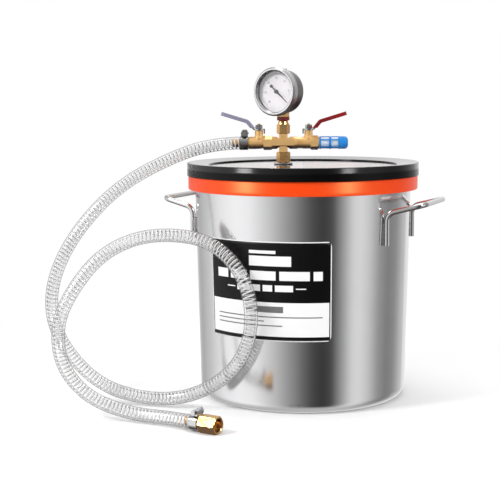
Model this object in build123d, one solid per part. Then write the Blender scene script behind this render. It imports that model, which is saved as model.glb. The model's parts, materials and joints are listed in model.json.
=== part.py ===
from build123d import *
from math import cos, sin, tan, radians, sqrt, pi
import os

# Vacuum degassing chamber: a drawn stainless pot with two bent-rod handles, a soft gasket
# round its rim, a clear lid in an edge ring, and a brass manifold on the lid with a gauge,
# two mini ball valves, a vent muffler and a wire-reinforced hose.
# Frame: millimetres, +Z up, origin at the middle of the pot's flat base, handles on +X and -X,
# the label's side towards -Y.

# ---- pot ----
pot_height = 250.0
pot_rim_radius = 125.0
pot_taper = 5.2
pot_wall = 1.2
pot_corner_radius = 11.6
rim_flange_width = 4.5

# ---- handles ----
handle_rod = 6.0
handle_leg_half_angle = 23.7
handle_low_drop = 67.5
handle_high_drop = 32.0
handle_reach = 32.2
handle_bar_rise = 10.0
handle_bar_half = 46.0
handle_bend = 11.0
handle_wall_gap = 0.8
weld_width = 2.4

# ---- gasket on the rim ----
gasket_outside = 7.8
gasket_inside = 7.5
gasket_drop = 10.0
gasket_cap = 5.8
gasket_edge = 1.2

# ---- lid ----
glass_thickness = 9.0
ring_overhang = 1.2
ring_wall = 3.4
ring_lip_width = 24.6
ring_under_lip = 1.8
ring_top_lip = 4.1
ring_dish = 2.6
ring_edge = 1.1
ring_lip_edge = 0.5
lid_turn = 20.0
port_x = -22.6
port_y = 20.0
port_clearance = 0.5

# ---- clamping stack through the lid ----
shank_radius = 6.8
seal_thickness = 0.7
seal_radius = 10.4
washer_thickness = 1.0
washer_radius = 11.25
lock_nut_flats = 19.0
lock_nut_height = 6.0
shank_end = 1.5

# ---- manifold ----
riser_flats = 14.2
riser_height = 12.9
port_bore = 6.0
spigot_radius = 4.8
spigot_length = 6.2
cross_column = 10.3
cross_half_height = 10.5
cross_arm_flats = 14.4
cross_arm_half = 12.9
cross_neck = 8.2
adapter_flats = 13.6
adapter_hex_height = 11.3
adapter_cone_height = 4.4
adapter_cone_radius = 5.3
band_radius = 7.4
band_height = 4.3

# ---- gauge ----
gauge_turn = 31.0
socket_side = 10.6
socket_height = 5.1
socket_reach = 5.0
gauge_drop = 0.9
case_radius = 25.0
case_wall = 0.9
case_back = -5.4
case_front = 16.6
bezel_overhang = 3.2
bezel_wall = 1.3
bezel_back = 12.6
bezel_front = 21.4
bezel_lap = 1.4
window_thickness = 1.8
dial_gap = 1.1
dial_thickness = 0.8
dial_place = 12.4
dial_hole = 2.0
pointer_length = 18.7
pointer_tail = 10.9
pointer_width = 1.7
pointer_thickness = 0.5
pointer_rest_angle = -41.7
movement_back = 7.2
movement_plate = 0.8
arbor_radius = 1.2
arbor_clearance = 0.08
plug_radius = 3.6
plug_height = 1.3
plug_edge = 0.5
plug_hole = 6.0
bourdon_radius = 15.5
bourdon_opening = (24.0, 17.0)
movement_size = (15.0, 17.0)
bourdon_width = 6.0
bourdon_thickness = 2.4

# ---- ball valves (u runs outward from the stem's axis) ----
hose_valve_place = 28.6
vent_valve_place = 29.7
barrel_radius = 7.0
collar_groove = 0.7
collar_radius = 7.3
collar_end = -12.9
wrench_end = -5.0
groove_step = 1.1
stem_boss_radius = 4.9
stem_boss_height = 14.6
valve_hex_flats = 14.6
valve_hex_start = 3.2
boss_flare = 1.3
valve_end = 11.5
thread_depth = 3.6
thread_radius = 5.6
ball_radius = 5.3
ball_gap = 0.12
barrel_wall = 1.1
seat_reach = 6.2
seat_thickness = 2.3
stem_radius = 2.5
stem_clearance = 0.05
stem_shoulder_radius = 3.2
stem_shoulder_height = 1.4
packing_radius = 3.7
packing_height = 4.0
lever_gap = 0.3
lever_thickness = 1.6
lever_width = 9.0
lever_eye_radius = 6.2
lever_tab_drop = 4.2
lever_tab_width = 5.0
lever_tab_gap = 0.7
lever_rise_start = 6.0
lever_bend = (13.6, 25.0)
lever_tip = (43.0, 34.0)
lever_foot_bend = 2.4
lever_top_bend = 5.0
sleeve_wall = 1.35
sleeve_side = 1.3
sleeve_start_gap = 0.8
sleeve_nut_gap = 0.4
sleeve_tip_radius = 3.6
handle_nut_flats = 7.2
handle_nut_height = 4.6
stem_thread_radius = 1.9

# ---- vent muffler ----
muffler_radius = 7.4
muffler_wall = 1.5
muffler_length = 34.8
muffler_windows = 5
muffler_rib = 1.9
muffler_rows = ((3.0, 12.4), (15.0, 23.2))
muffler_nose = 4.6
element_radius = 5.6

# ---- hose, barbs and clamps ----
hose_diameter = 15.0
tail_radius = 4.9
barb_rise = 0.35
tail_length = 19.0
shoulder_radius = 6.9
shoulder_length = 1.0
clamp_thickness = 0.8
clamp_width = 9.6
clamp_screw_place = 4.2
clamp_set_back = 0.3
clamp_housing = (9.0, 9.0, 6.2)
clamp_screw_radius = 2.7
clamp_screw_length = 15.0
clamp_head_flats = 8.4
clamp_head_height = 3.2
nut_flats = 18.0
nut_length = 21.0
nut_mouth_radius = 7.1
nut_mouth_depth = 9.4
nut_mouth_lead = 0.8
nut_seat_radius = 6.7
nut_seat_depth = 3.6
nut_gap = 2.0
swivel_clearance = 0.08
fitting_heading = -10.0

# ---- heights and places worked out from the sizes above ----
handle_leg_low = pot_height - handle_low_drop
handle_leg_high = pot_height - handle_high_drop
bezel_radius = case_radius + bezel_overhang
bezel_window_radius = case_radius - bezel_lap
dial_radius = case_radius - dial_gap
seat_radius = barrel_radius - barrel_wall
rim_top = pot_height
pot_base_radius = pot_rim_radius - pot_taper
gasket_radius = pot_rim_radius + gasket_outside
gasket_bore_radius = pot_rim_radius - gasket_inside
ring_radius = gasket_radius + ring_overhang
glass_radius = ring_radius - ring_wall
ring_lip_radius = ring_radius - ring_lip_width
gasket_top = rim_top + gasket_cap
glass_low = gasket_top + ring_under_lip
glass_top = glass_low + glass_thickness
ring_top = glass_top + ring_top_lip
riser_low = glass_top + seal_thickness + washer_thickness
riser_high = riser_low + riser_height
pipe_height = riser_high + cross_half_height
column_top = pipe_height + cross_half_height
adapter_hex_top = column_top + adapter_hex_height
adapter_top = adapter_hex_top + adapter_cone_height
band_top = adapter_top + band_height
socket_top = band_top + socket_height
gauge_height = socket_top + case_radius - gauge_drop
hose_radius = hose_diameter / 2

# ---- hose route: first and last runs lie on the axes of the two barbs ----
# The run leaves the manifold, falls in one wide loop to the floor, climbs against the pot's
# wall, comes round over itself and lies out to the flare nut.
hose_start_reach = hose_valve_place + valve_end + shoulder_length
hose_first_run = 43.0
hose_last_run = 41.0
hose_end = (-36.0, -212.5, nut_flats / 2)
hose_middle = [
    (-159, -43, 271),
    (-208, -69, 240),
    (-248, -96, 190),
    (-268, -117, 138),
    (-264, -131, 92),
    (-238, -137, 52),
    (-195, -137, 18),
    (-139, -137, 7.5),
    (-88, -131, 12),
    (-40, -131, 39),
    (-12, -136, 78),
    (-8, -136, 122),
    (-25, -131, 162),
    (-62, -126, 189),
    (-108, -126, 195),
    (-151, -134, 190),
    (-187, -150, 170),
    (-210, -171, 134),
    (-220, -190, 98),
    (-208, -204, 55),
    (-172, -209, 23),
    (-123, -204, 8.5),
]


# ---------------------------------------------------------------- helpers
def turned(profile):
    """Solid of revolution about Z from (radius, height) points."""
    outline = Polyline(*[(r, 0, z) for r, z in profile], close=True)
    return revolve(make_face(outline), Axis.Z)


def disc(radius, low, high):
    return Pos(0, 0, (low + high) / 2) * Cylinder(radius, abs(high - low))


def tube(radius, bore_radius, low, high):
    return disc(radius, low, high) - disc(bore_radius, low - 1, high + 1)


def hexagon(flats, low, high):
    outline = Plane.XY.offset(low) * RegularPolygon(flats / 2, 6, major_radius=False)
    return extrude(outline, high - low)


def chamfered_hexagon(flats, low, high):
    """Hexagon bar with its corners turned off at both ends, as a nut has."""
    corner = flats / sqrt(3)
    cut = corner - flats / 2
    turned_ends = turned([
        (0, low), (flats / 2, low), (corner, low + cut),
        (corner, high - cut), (flats / 2, high), (0, high),
    ])
    return hexagon(flats, low, high) & turned_ends


def side_profile(points, width):
    """Plate whose outline is given in X and Z, centred on Y."""
    outline = make_face(Polyline(*[(x, 0, z) for x, z in points], close=True))
    return extrude(outline, width / 2, both=True)


def edges_near(shape, radius, height):
    """Circular edges of one radius at one height."""
    return [
        e for e in shape.edges().filter_by(GeomType.CIRCLE)
        if abs(e.radius - radius) < 0.01 and abs(e.arc_center.Z - height) < 0.01
    ]


def on_lid(shape):
    """From the manifold's own frame, on its vertical axis, to the part's frame."""
    return Rot(0, 0, lid_turn) * Pos(port_x, port_y, 0) * shape


def outward_x(shape):
    """Turn a solid made along +Z so that it lies along +X."""
    return Rot(0, 90, 0) * shape


def wall_radius(height):
    rise = (height - pot_corner_radius) / (pot_height - pot_corner_radius)
    return pot_base_radius + (pot_rim_radius - pot_base_radius) * rise


def save(shape, name):
    export_step(shape, f"parts/{name}.step")


# ---------------------------------------------------------------- pot and handles
def pot_outside():
    """The pot's outer form, filled, without its rim flange."""
    corner = pot_corner_radius
    turn = corner * sin(radians(45))
    foot = pot_base_radius - corner
    outline = Line((0, 0, 0), (foot, 0, 0))
    outline += ThreePointArc((foot, 0, 0), (foot + turn, 0, corner - turn), (pot_base_radius, 0, corner))
    outline += Line((pot_base_radius, 0, corner), (pot_rim_radius, 0, rim_top))
    outline += Line((pot_rim_radius, 0, rim_top), (0, 0, rim_top))
    outline += Line((0, 0, rim_top), (0, 0, 0))
    return revolve(make_face(outline), Axis.Z)


def pot_inside():
    corner = pot_corner_radius - pot_wall
    turn = corner * sin(radians(45))
    foot = pot_base_radius - pot_corner_radius
    side = pot_base_radius - pot_wall
    top = rim_top + 1
    outline = Line((0, 0, pot_wall), (foot, 0, pot_wall))
    outline += ThreePointArc(
        (foot, 0, pot_wall),
        (foot + turn, 0, pot_wall + corner - turn),
        (side, 0, pot_corner_radius),
    )
    outline += Line((side, 0, pot_corner_radius), (wall_radius(top) - pot_wall, 0, top))
    outline += Line((wall_radius(top) - pot_wall, 0, top), (0, 0, top))
    outline += Line((0, 0, top), (0, 0, pot_wall))
    return revolve(make_face(outline), Axis.Z)


def chamber_pot():
    flange = disc(pot_rim_radius + rim_flange_width, rim_top - pot_wall, rim_top)
    return pot_outside() + flange - pot_inside()


def handle(side):
    """Bent rod with two upright legs beside the wall, welded along them."""
    leg_middle = (handle_leg_low + handle_leg_high) / 2
    leg_reach = wall_radius(leg_middle) + handle_wall_gap + handle_rod / 2
    leg_x = leg_reach * cos(radians(handle_leg_half_angle))
    leg_y = leg_reach * sin(radians(handle_leg_half_angle))
    bar_x = leg_reach + handle_reach - handle_rod / 2
    bar_z = handle_leg_high + handle_bar_rise
    path = FilletPolyline(
        (leg_x, -leg_y, handle_leg_low),
        (leg_x, -leg_y, handle_leg_high),
        (bar_x, -handle_bar_half, bar_z),
        (bar_x, handle_bar_half, bar_z),
        (leg_x, leg_y, handle_leg_high),
        (leg_x, leg_y, handle_leg_low),
        radius=handle_bend,
    )
    rod = sweep(Plane.XY.offset(handle_leg_low) * Pos(leg_x, -leg_y) * Circle(handle_rod / 2), path)
    weld_high = handle_leg_high - handle_bend
    for turn in (-handle_leg_half_angle, handle_leg_half_angle):
        weld = Pos(leg_reach - handle_rod / 2, 0, (handle_leg_low + weld_high) / 2) * Box(
            handle_rod, weld_width, weld_high - handle_leg_low)
        rod += Rot(0, 0, turn) * weld
    rod -= pot_outside()
    return rod if side > 0 else Rot(0, 0, 180) * rod


# ---------------------------------------------------------------- gasket and lid
def rim_gasket(pot):
    low = rim_top - gasket_drop
    ring = tube(gasket_radius, gasket_bore_radius, low, gasket_top)
    ring = fillet(edges_near(ring, gasket_radius, low), gasket_edge)
    return ring - pot


def lid_edge_ring():
    """Black rubber channel round the disc, its top face dished down towards the disc."""
    lip_top = ring_top - ring_dish
    ring = turned([
        (ring_lip_radius, lip_top), (ring_radius, ring_top), (ring_radius, gasket_top),
        (gasket_bore_radius, gasket_top), (gasket_bore_radius, glass_low),
        (glass_radius, glass_low), (glass_radius, glass_top), (ring_lip_radius, glass_top),
    ])
    ring = fillet(edges_near(ring, ring_radius, ring_top), ring_edge)
    return fillet(edges_near(ring, ring_lip_radius, lip_top), ring_lip_edge)


def lid_glass():
    port = on_lid(disc(shank_radius + port_clearance, glass_low - 1, glass_top + 1))
    return disc(glass_radius, glass_low, glass_top) - port


def upper_lid_seal():
    return on_lid(tube(seal_radius, shank_radius, glass_top, glass_top + seal_thickness))


def upper_lid_washer():
    return on_lid(tube(washer_radius, shank_radius, glass_top + seal_thickness, riser_low))


def lower_lid_seal():
    return on_lid(tube(seal_radius, shank_radius, glass_low - seal_thickness, glass_low))


def lower_lid_washer():
    high = glass_low - seal_thickness
    return on_lid(tube(washer_radius, shank_radius, high - washer_thickness, high))


def lid_lock_nut():
    high = glass_low - seal_thickness - washer_thickness
    nut = chamfered_hexagon(lock_nut_flats, high - lock_nut_height, high)
    return on_lid(nut - disc(shank_radius, high - lock_nut_height - 1, high + 1))


# ---------------------------------------------------------------- brass manifold
def riser_nipple():
    """Threaded shank through the lid, hexagon above it and spigot into the cross."""
    low = glass_low - seal_thickness - washer_thickness - lock_nut_height - shank_end
    body = disc(shank_radius, low, riser_low)
    body += chamfered_hexagon(riser_flats, riser_low, riser_high)
    body += disc(spigot_radius, riser_high, riser_high + spigot_length)
    return on_lid(body - disc(port_bore / 2, low - 1, riser_high + spigot_length + 1))


def octagon_bar(flats, half_length):
    outline = Plane.YZ.offset(-half_length) * RegularPolygon(flats / 2, 8, major_radius=False, rotation=22.5)
    return extrude(outline, 2 * half_length)


def cross_fitting():
    """Four-way cross: a narrow square column and two octagonal arms with bevelled necks."""
    waist = cross_column / 2
    arm = cross_arm_flats / 2
    outline = side_profile([
        (-cross_arm_half, -arm), (-cross_neck, -arm), (-waist, -waist), (waist, -waist),
        (cross_neck, -arm), (cross_arm_half, -arm), (cross_arm_half, arm), (cross_neck, arm),
        (waist, waist), (-waist, waist), (-cross_neck, arm), (-cross_arm_half, arm),
    ], cross_arm_flats)
    body = octagon_bar(cross_arm_flats, cross_arm_half) & outline
    column = Box(cross_column, cross_arm_flats * 0.9, 2 * cross_half_height)
    body += chamfer(column.edges().filter_by(Axis.Z), cross_column * 0.16)
    body -= disc(port_bore / 2, -cross_half_height - 1, cross_half_height + 1)
    body -= outward_x(disc(port_bore / 2, -cross_arm_half - 1, cross_arm_half + 1))
    for end in (-1, 1):
        body -= disc(spigot_radius, end * cross_half_height, end * (cross_half_height - spigot_length))
        body -= outward_x(disc(spigot_radius, end * cross_arm_half, end * (cross_arm_half - spigot_length)))
    return on_lid(Pos(0, 0, pipe_height) * body)


def gauge_adapter():
    """Hexagon with a cone on top and a threaded socket for the gauge."""
    body = disc(spigot_radius, column_top - spigot_length, column_top)
    body += chamfered_hexagon(adapter_flats, column_top, adapter_hex_top)
    body += turned([
        (0, adapter_hex_top), (adapter_flats / 2, adapter_hex_top),
        (adapter_cone_radius, adapter_top), (0, adapter_top),
    ])
    body -= disc(port_bore / 2, column_top - spigot_length - 1, adapter_top + 1)
    body -= disc(spigot_radius - 0.8, adapter_top - spigot_length, adapter_top + 1)
    return on_lid(body)


def thread_seal_band():
    return on_lid(tube(band_radius, spigot_radius - 0.8, adapter_top, band_top))


# ---------------------------------------------------------------- gauge
def gauge_frame():
    """Plane on the gauge's axis: X to the dial's right, Y up and Z out of the dial."""
    turn = radians(gauge_turn)
    return Plane(
        origin=(0, 0, gauge_height),
        x_dir=(cos(turn), -sin(turn), 0),
        z_dir=(-sin(turn), -cos(turn), 0),
    )


def on_gauge(shape):
    return on_lid(gauge_frame().location * shape)


def gauge_socket():
    """Square shank with the threaded spigot below it, pressed through the case."""
    spigot = disc(spigot_radius - 0.8, adapter_top - spigot_length, band_top)
    bore = disc(1.6, adapter_top - spigot_length - 1, gauge_height - case_radius + socket_reach + 1)
    shank_low = band_top
    shank_high = gauge_height - case_radius + socket_reach
    shank = Rot(0, 0, -gauge_turn) * Pos(0, 0, (shank_low + shank_high) / 2) * Box(
        socket_side, socket_side * 0.9, shank_high - shank_low)
    return on_lid(spigot + shank - bore)


def gauge_case():
    """Drawn cup, open at the dial, with a rolled step under the bezel."""
    cup = disc(case_radius, case_back, case_front)
    cup = fillet(edges_near(cup, case_radius, case_back), 1.6)
    cup -= disc(case_radius - case_wall, case_back + case_wall, case_front + 1)
    cup = on_gauge(cup)
    cup -= on_gauge(Pos(0, case_radius, 0) * Rot(90, 0, 0) * Cylinder(plug_radius, plug_hole))
    shank_high = gauge_height - case_radius + socket_reach
    slot = Rot(0, 0, -gauge_turn) * Pos(0, 0, shank_high / 2 + band_top / 2) * Box(
        socket_side, socket_side * 0.9, shank_high - band_top)
    return cup - on_lid(slot)


def gauge_bezel():
    """Crimped ring over the case's mouth with a turned-in front lip."""
    inside = bezel_radius - bezel_wall
    ring = turned([
        (case_radius, bezel_back), (bezel_radius - 0.8, bezel_back), (bezel_radius, bezel_back + 0.8),
        (bezel_radius, bezel_front - 1.8), (bezel_radius - 1.8, bezel_front),
        (bezel_window_radius + 1.4, bezel_front), (bezel_window_radius, bezel_front - 1.4),
        (bezel_window_radius, bezel_front - 2.4), (inside, bezel_front - 2.4),
        (inside, bezel_back + 1.2), (case_radius, bezel_back + 1.2),
    ])
    return on_gauge(ring)


def gauge_window():
    inside = bezel_radius - bezel_wall
    front = bezel_front - 2.4
    return on_gauge(disc(inside - 0.1, front - window_thickness, front))


def gauge_dial():
    return on_gauge(tube(dial_radius, dial_hole, dial_place, dial_place + dial_thickness))


def gauge_pointer():
    """Pointer blade with a spade tail on its arbor."""
    low = dial_place + dial_thickness + 1.0
    blade = make_face(Polyline(
        (pointer_length, 0.25), (2.0, pointer_width / 2), (-pointer_tail + 3.5, pointer_width * 0.45),
        (-pointer_tail + 2.5, pointer_width), (-pointer_tail, pointer_width),
        (-pointer_tail, -pointer_width), (-pointer_tail + 2.5, -pointer_width),
        (-pointer_tail + 3.5, -pointer_width * 0.45), (2.0, -pointer_width / 2),
        (pointer_length, -0.25), close=True))
    blade = Pos(0, 0, low) * extrude(blade, pointer_thickness)
    hub = disc(2.4, low, low + 1.3)
    arbor = disc(arbor_radius, movement_back - 0.4, low)
    pinion = disc(arbor_radius + 0.8, movement_back + 1.6, movement_back + 2.6)
    return on_gauge(Rot(0, 0, pointer_rest_angle) * (blade + hub + arbor + pinion))


def gauge_fill_plug():
    stud = Cylinder(plug_radius, 3.0)
    head = Pos(0, 0, 1.5 + plug_height / 2) * Cylinder(plug_radius + 0.9, plug_height)
    head = fillet(head.edges().filter_by(GeomType.CIRCLE).sort_by(Axis.Z)[-1:], plug_edge)
    plug = Rot(-90, 0, 0) * (stud + head)
    plug = on_gauge(Pos(0, case_radius - 1.3, 0) * plug)
    return plug - on_gauge(tube(case_radius, case_radius - case_wall, case_back, case_front)
                           - Pos(0, case_radius, 0) * Rot(90, 0, 0) * Cylinder(plug_radius, plug_hole))


def bourdon_tube():
    """Flat C-shaped tube that straightens under vacuum and drives the movement."""
    half = bourdon_thickness / 2
    ring = tube(bourdon_radius + half, bourdon_radius - half, 0.5, 0.5 + bourdon_width)
    opening = Rot(0, 0, -62) * Pos(bourdon_radius, 0, 0.5 + bourdon_width / 2) * Box(
        *bourdon_opening, bourdon_width + 1)
    foot_top = -bourdon_radius + 1.7
    foot_low = -case_radius + socket_reach
    foot_deep = movement_back - 0.5
    foot = Pos(0, (foot_top + foot_low) / 2, 0.5 + foot_deep / 2) * Box(8, foot_top - foot_low, foot_deep)
    return on_gauge((ring - opening) + foot)


def gauge_movement():
    """Two plates on pillars, the back one reaching down to the socket's foot."""
    front_low = dial_place - movement_plate
    plate = Pos(0, 2) * Rectangle(*movement_size)
    tongue = Pos(0, -12) * Rectangle(6, 12)
    front = Pos(0, 0, front_low) * extrude(plate, movement_plate)
    back = Pos(0, 0, movement_back) * extrude(plate + tongue, movement_plate)
    body = front + back
    for x, y in ((-6, -4.5), (6, -4.5), (-6, 8.5), (6, 8.5)):
        body += Pos(x, y, 0) * disc(0.9, movement_back, front_low)
    body -= disc(arbor_radius + arbor_clearance, movement_back - 1, dial_place + 1)
    return on_gauge(body)


# ---------------------------------------------------------------- ball valves
def valve_reach(side):
    """How far out each valve's stem stands from the cross."""
    return vent_valve_place if side > 0 else hose_valve_place


def on_valve(shape, side):
    """From a valve's own frame, stem on Z and outward along +X, to the part's frame."""
    if side < 0:
        shape = Rot(0, 0, 180) * shape
    return on_lid(Pos(side * valve_reach(side), 0, pipe_height) * shape)


def valve_body(side):
    """Forging: male shank, collar, grooved barrel, flared stem boss and hexagon end.

    The hose valve has its wrench hexagon beside the cross and a round end for the barb. The
    vent valve has a round collar there and the hexagon at its outer end.
    """
    inner = cross_arm_half - valve_reach(side)
    groove = barrel_radius - collar_groove
    seat_face = ball_radius + ball_gap + 0.78
    grooves = [wrench_end] if side < 0 else [collar_end + 2 * i * groove_step for i in range(3)]
    shank = barrel_radius if side < 0 else collar_radius
    profile = [(0, inner - spigot_length), (spigot_radius, inner - spigot_length)]
    profile += [(spigot_radius, inner), (shank, inner), (shank, grooves[0])]
    for start in grooves:
        profile += [(groove, start), (groove, start + groove_step), (barrel_radius, start + groove_step)]
        profile += [(barrel_radius, start + 2 * groove_step)]
    profile += [(barrel_radius, valve_hex_start), (0, valve_hex_start)]
    body = turned(profile)
    if side > 0:
        body += chamfered_hexagon(valve_hex_flats, valve_hex_start - 1.0, valve_end)
    else:
        body += chamfered_hexagon(valve_hex_flats, inner, wrench_end)
        rim = valve_hex_flats / 2
        body += turned([
            (0, valve_hex_start - 3.0), (barrel_radius, valve_hex_start - 3.0), (rim, valve_hex_start),
            (rim, valve_end - 0.6), (rim - 0.6, valve_end), (0, valve_end),
        ])
    body = outward_x(body)
    body += turned([
        (0, 0), (stem_boss_radius + boss_flare, 0), (stem_boss_radius + boss_flare, barrel_radius - 1.2),
        (stem_boss_radius, barrel_radius + 1.6), (stem_boss_radius, stem_boss_height - 0.5),
        (stem_boss_radius - 0.5, stem_boss_height), (0, stem_boss_height),
    ])
    body -= outward_x(disc(port_bore / 2, inner - spigot_length - 1, valve_end + 1))
    body -= outward_x(disc(seat_radius, -seat_face, valve_end - thread_depth))
    body -= outward_x(disc(thread_radius, valve_end - thread_depth, valve_end + 1))
    body -= disc(stem_radius + stem_clearance, 0, stem_boss_height + 1)
    body -= disc(stem_shoulder_radius + stem_clearance, 0, seat_radius + stem_shoulder_height)
    body -= disc(packing_radius, stem_boss_height - packing_height, stem_boss_height + 1)
    return on_valve(body, side)


def valve_ball(side):
    """Bored ball with the slot that the stem's tongue turns it by."""
    ball = Sphere(ball_radius) - outward_x(disc(port_bore / 2, -ball_radius - 1, ball_radius + 1))
    ball &= Box(2 * ball_radius, 2 * ball_radius, 2 * (ball_radius - 0.2))
    ball -= Pos(0, 0, ball_radius) * Box(4.2, 1.6, 2.4)
    return on_valve(ball, side)


def ball_seat(side, end):
    """Soft ring with a spherical face, held in the barrel on one side of the ball."""
    seat_face = ball_radius + ball_gap + 0.78
    ring = tube(seat_radius, port_bore / 2, seat_face - seat_thickness, seat_face)
    ring -= Sphere(ball_radius + ball_gap)
    ring = outward_x(ring) if end > 0 else Rot(0, 0, 180) * outward_x(ring)
    return on_valve(ring, side)


def seat_retainer(side):
    seat_face = ball_radius + ball_gap + 0.78
    ring = tube(seat_radius, port_bore / 2, seat_face, valve_end - thread_depth)
    return on_valve(outward_x(ring), side)


def stem_packing(side):
    ring = tube(packing_radius, stem_radius + stem_clearance,
                stem_boss_height - packing_height, stem_boss_height)
    return on_valve(ring, side)


def lever_low():
    return stem_boss_height + lever_gap


def valve_stem(side):
    """Tongue in the ball's slot, round shank through the packing and flats for the lever."""
    low = ball_radius - 1.2
    flats_high = lever_low() + lever_thickness
    stem = Pos(0, 0, (low + ball_radius) / 2) * Box(4.0, 1.5, ball_radius - low)
    stem += disc(stem_radius, ball_radius, lever_low())
    stem += disc(stem_shoulder_radius, ball_radius, seat_radius + stem_shoulder_height - stem_clearance)
    flats = disc(stem_radius, lever_low(), flats_high)
    stem += flats & Box(2 * stem_radius, 1.5 * stem_radius, 2 * flats_high)
    stem += disc(stem_thread_radius, flats_high, flats_high + handle_nut_height + 1.2)
    return on_valve(stem, side)


def lever_line(extra):
    """The lever's middle line from the stem to its tip, drawn flat, with rounded bends."""
    middle = lever_low() + lever_thickness / 2
    bend, tip = Vector(*lever_bend), Vector(*lever_tip)
    end = tip + (tip - bend).normalized() * extra
    foot = FilletPolyline((0, middle), (lever_rise_start, middle), lever_bend, radius=lever_foot_bend)
    head = FilletPolyline((lever_rise_start, middle), lever_bend, (end.X, end.Y), radius=lever_top_bend)
    start, turn = foot.edges()[:2]
    return start + turn + Line(turn @ 1, head.edges()[0] @ 1) + head.edges()[1] + head.edges()[2]


def lever_strip(thick, width, extra=0.0):
    """A strip of even thickness along the lever's line."""
    flat = trace(lever_line(extra), line_width=thick)
    return Rot(90, 0, 0) * extrude(flat, width / 2, both=True)


def valve_lever(side):
    """Flat strip with an eye on the stem, a rise clear of the hose and a stop tab."""
    low = lever_low()
    eye = disc(lever_eye_radius, low, low + lever_thickness)
    tab_x = stem_boss_radius + lever_tab_gap + lever_thickness / 2
    tab = Pos(-tab_x, 0, low + (lever_thickness - lever_tab_drop) / 2) * Box(
        lever_thickness, lever_tab_width, lever_thickness + lever_tab_drop)
    lever = lever_strip(lever_thickness, lever_width) + eye + tab
    flats = disc(stem_radius, low - 1, low + lever_thickness + 1)
    lever -= flats & Pos(0, 0, low) * Box(2 * stem_radius, 1.5 * stem_radius, 4 * lever_thickness)
    return on_valve(lever, side)


def lever_sleeve(side):
    """Dipped plastic sleeve over the lever's rise and grip, closed and rounded at the tip."""
    wide = lever_width + 2 * sleeve_side
    grip = lever_strip(lever_thickness + 2 * sleeve_wall, wide, sleeve_wall)
    start = lever_low() + lever_thickness + sleeve_start_gap
    grip -= Pos(0, 0, start - wide) * Box(8 * wide, 2 * wide, 2 * wide)
    tip_x = lever_tip[0] - 0.5
    ends = [e for e in grip.edges().filter_by(GeomType.LINE) if e.center().X > tip_x and abs(e.center().Y) > wide / 2 - 0.01]
    ends = [e for e in ends if abs((e @ 1 - e @ 0).Y) < 0.01 and (e @ 1 - e @ 0).Z ** 2 > (e @ 1 - e @ 0).X ** 2]
    grip = fillet(ends, sleeve_tip_radius)
    grip -= lever_strip(lever_thickness, lever_width)
    nut_room = handle_nut_flats / 2 / cos(radians(30)) + sleeve_nut_gap
    grip -= disc(nut_room, start - 1, start + 2 * wide)
    return on_valve(grip, side)


def handle_nut(side):
    low = lever_low() + lever_thickness
    nut = chamfered_hexagon(handle_nut_flats, low, low + handle_nut_height)
    nut -= disc(stem_thread_radius, low - 1, low + handle_nut_height + 1)
    return on_valve(nut, side)


# ---------------------------------------------------------------- vent muffler
def on_muffler(shape):
    return on_valve(Pos(valve_end, 0, 0) * outward_x(shape), 1)


def muffler_base():
    """Threaded brass plug that carries the cage."""
    base = disc(thread_radius, -thread_depth, 0)
    base += disc(muffler_radius - 0.5, 0, 0.8)
    base += disc(muffler_radius - muffler_wall, 0.8, muffler_rows[0][0] - 0.6)
    base -= disc(port_bore / 2, -thread_depth - 1, muffler_rows[0][0])
    return on_muffler(base)


def muffler_cage():
    """Moulded shell: two rows of windows between ribs and a closed rounded nose."""
    outer = disc(muffler_radius, 0.8, muffler_length)
    outer = fillet(edges_near(outer, muffler_radius, muffler_length), muffler_nose)
    cavity_end = muffler_rows[-1][1] + 1.0
    outer -= disc(muffler_radius - muffler_wall, 0, cavity_end)
    for low, high in muffler_rows:
        for i in range(muffler_windows):
            span = 2 * pi * muffler_radius / muffler_windows - muffler_rib
            window = Pos(muffler_radius, 0, (low + high) / 2) * Box(6, span, high - low)
            outer -= Rot(0, 0, 24 + 360 / muffler_windows * (i + 0.5)) * window
    return on_muffler(outer)


def muffler_element():
    cavity_end = muffler_rows[-1][1] + 1.0
    return on_muffler(disc(element_radius, muffler_rows[0][0] - 0.6, cavity_end))


# ---------------------------------------------------------------- hose and its fittings
def at_hose_start(shape):
    """Frame whose +X runs into the hose from the manifold's end."""
    return on_lid(Pos(-hose_start_reach, 0, pipe_height) * Rot(0, 0, 180) * shape)


def at_hose_end(shape):
    """Frame whose +X runs out of the hose at its free end."""
    return Pos(*hose_end) * Rot(0, 0, fitting_heading) * shape


def barbed_tail():
    """Tail along +Z with three ridges, each leaning back towards the shoulder."""
    step = (tail_length - 4.0) / 3
    profile = [(0, 0), (tail_radius, 0)]
    for i in range(3):
        z = 2.0 + i * step
        profile += [(tail_radius - barb_rise, z), (tail_radius, z + 0.4), (tail_radius - barb_rise, z + step - 0.2)]
    profile += [(tail_radius - barb_rise, tail_length - 0.6), (tail_radius - 0.9, tail_length), (0, tail_length)]
    return turned(profile)


def hose_barb():
    """Barb at the left valve: thread, shoulder and tail."""
    barb = barbed_tail() + disc(shoulder_radius, -shoulder_length, 0)
    barb += disc(thread_radius, -shoulder_length - thread_depth, -shoulder_length)
    barb -= disc(port_bore / 2, -shoulder_length - thread_depth - 1, tail_length + 1)
    return at_hose_start(outward_x(barb))


def end_barb():
    """Tail inside the hose, collar, and the neck with a flange that holds the swivel nut."""
    neck = nut_gap + nut_length - nut_mouth_depth - nut_seat_depth + swivel_clearance
    barb = Rot(180, 0, 0) * barbed_tail()
    barb += disc(shoulder_radius, 0, nut_gap - 0.2)
    barb += disc(tail_radius, 0, neck)
    flare = nut_seat_radius - 0.2
    barb += turned([(0, neck), (flare, neck), (flare, neck + 1.0), (flare - 1.8, neck + 3.2), (0, neck + 3.2)])
    barb -= disc(port_bore / 2, -tail_length - 1, neck + 4)
    return at_hose_end(outward_x(barb))


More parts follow.
